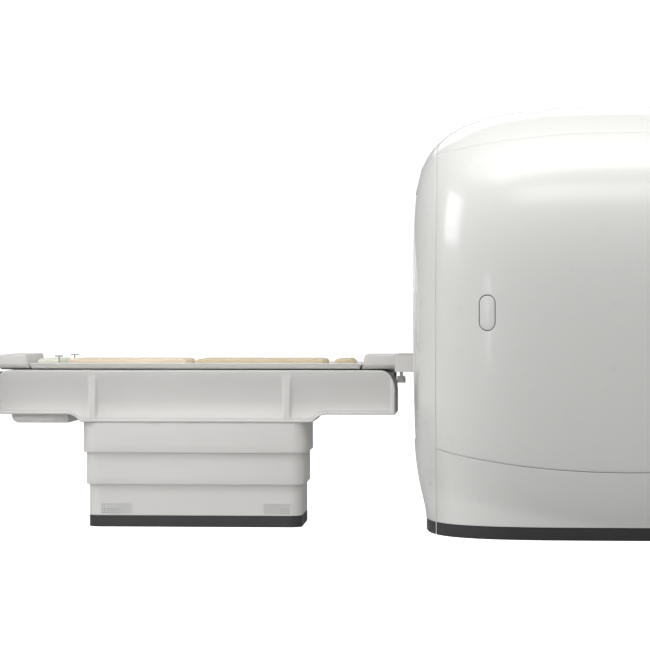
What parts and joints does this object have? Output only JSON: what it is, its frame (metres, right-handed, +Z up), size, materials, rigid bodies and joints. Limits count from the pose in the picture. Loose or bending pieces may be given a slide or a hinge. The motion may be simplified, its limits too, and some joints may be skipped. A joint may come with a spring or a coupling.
{
  "type": "mri scanner",
  "caption": "Closed-bore MRI scanner: rounded white magnet cover with a through bore, and a height-adjustable patient table that slides into it.",
  "frame": {"origin": "on the floor, at the middle of the overall length and width", "axes": "+X along the table and the bore, from the foot end of the table to the rear of the gantry; +Z up; the near side is -Y"},
  "size_m": [4.0756, 1.98, 2.06],
  "materials": {
    "white_cover": "glossy moulded cover",
    "table_cover": "satin moulded cover",
    "tabletop_shell": "satin composite",
    "dark_plinth": "dark satin plastic",
    "bore_liner": "smooth liner",
    "ivory_pad": "soft wipe-clean cover",
    "peach_pad": "soft wipe-clean cover",
    "tan_pad": "soft wipe-clean cover",
    "steel_vessel": "welded steel",
    "shield_metal": "bare aluminium",
    "coil_winding": "potted winding",
    "coil_resin": "cast resin",
    "frame_paint": "grey paint",
    "column_metal": "anodised",
    "rail_plastic": "low friction plastic",
    "shaft_steel": "ground steel",
    "belt_rubber": "toothed belt",
    "grey_trim": "satin",
    "stop_red": "glossy",
    "button_grey": "satin",
    "display_glass": "dark glass",
    "light_lens": "frosted"
  },
  "bodies": {
    "scanner": {"access_caps": "white_cover", "base_cover": "table_cover", "bore_bridge": "tabletop_shell", "bore_light": "light_lens", "cold_head": "steel_vessel", "column_lower": "column_metal", "control_panel": "grey_trim", "cover_frames": "frame_paint", "front_cover": "white_cover", "front_funnel": "white_cover", "gantry_plinth": "dark_plinth", "gradient_coil": "coil_resin", "helium_vessel": "steel_vessel", "laser_module": "frame_paint", "lift_motors": "steel_vessel", "lower_panel_far": "white_cover", "lower_panel_near": "white_cover", "magnet_feet": "frame_paint", "patient_bore_tube": "bore_liner", "rear_cover": "white_cover", "rear_funnel": "white_cover", "rf_body_coil": "coil_resin", "side_panel_far": "white_cover", "side_panel_near": "white_cover", "superconducting_coils": "coil_winding", "suspension_rods": "coil_resin", "table_base_frame": "frame_paint", "table_plinth": "dark_plinth", "thermal_shield": "shield_metal", "top_cover": "white_cover", "touch_display": "display_glass", "vacuum_vessel": "steel_vessel"},
    "middle_tier": {"mid_cover": "table_cover", "mid_carrier": "frame_paint", "column_mid": "column_metal"},
    "lift_table": {"upper_cover": "table_cover", "column_upper": "column_metal", "table_body_cover": "table_cover", "table_deck": "table_cover", "guide_rails": "rail_plastic", "table_chassis": "frame_paint", "under_beam_box": "table_cover", "pulley_shafts": "shaft_steel", "drive_belt": "belt_rubber", "drive_motor": "steel_vessel"},
    "moving_top": {"tabletop": "tabletop_shell", "pad_foot": "ivory_pad", "pad_leg": "peach_pad", "pad_torso": "tan_pad", "pad_head": "tan_pad", "head_block": "tabletop_shell", "foot_block": "tabletop_shell", "strap_pegs": "grey_trim", "drive_carriage": "rail_plastic"},
    "drive_wheel": {"drive_pulley": "shield_metal"},
    "idler_wheel": {"idler_pulley": "shield_metal"},
    "stop_button": {"estop": "stop_red"},
    "raise_button": {"up_button": "button_grey"},
    "lower_button": {"down_button": "button_grey"},
    "release_knob": {"bridge_latch": "grey_trim"}
  },
  "joints": [
    {"name": "table_lift", "type": "slide", "parent": "scanner", "child": "lift_table", "axis": [0, 0, 1], "range_m": [-0.3, 0]},
    {"name": "tier_lift", "type": "slide", "parent": "scanner", "child": "middle_tier", "axis": [0, 0, 1], "range_m": [-0.15, 0]},
    {"name": "table_travel", "type": "slide", "parent": "lift_table", "child": "moving_top", "axis": [1, 0, 0], "range_m": [0, 1.8]},
    {"name": "drive_turn", "type": "hinge", "parent": "lift_table", "child": "drive_wheel", "pos_m": [-1.98075, 0, 0.7], "axis": [0, 1, 0], "range_deg": [0, 3290]},
    {"name": "idler_turn", "type": "hinge", "parent": "lift_table", "child": "idler_wheel", "pos_m": [-0.12075, 0, 0.7], "axis": [0, 1, 0], "range_deg": [0, 3290]},
    {"name": "stop_press", "type": "slide", "parent": "scanner", "child": "stop_button", "axis": [0.7071, -0.7071, 0], "range_m": [0, 0.004], "stiffness_N_per_m": 1500},
    {"name": "raise_press", "type": "slide", "parent": "scanner", "child": "raise_button", "axis": [0.7071, -0.7071, 0], "range_m": [0, 0.0025], "stiffness_N_per_m": 1200},
    {"name": "lower_press", "type": "slide", "parent": "scanner", "child": "lower_button", "axis": [0.7071, -0.7071, 0], "range_m": [0, 0.0025], "stiffness_N_per_m": 1200},
    {"name": "knob_turn", "type": "hinge", "parent": "scanner", "child": "release_knob", "pos_m": [-0.03325, -0.222, 0.74], "axis": [0, 0, 1], "range_deg": [0, 90]}
  ],
  "couplings": [
    {"joint": "tier_lift", "follows": "table_lift", "ratio": 0.5},
    {"joint": "drive_turn", "follows": "table_travel", "rad_per_m": 31.696},
    {"joint": "idler_turn", "follows": "table_travel", "rad_per_m": 31.696}
  ]
}
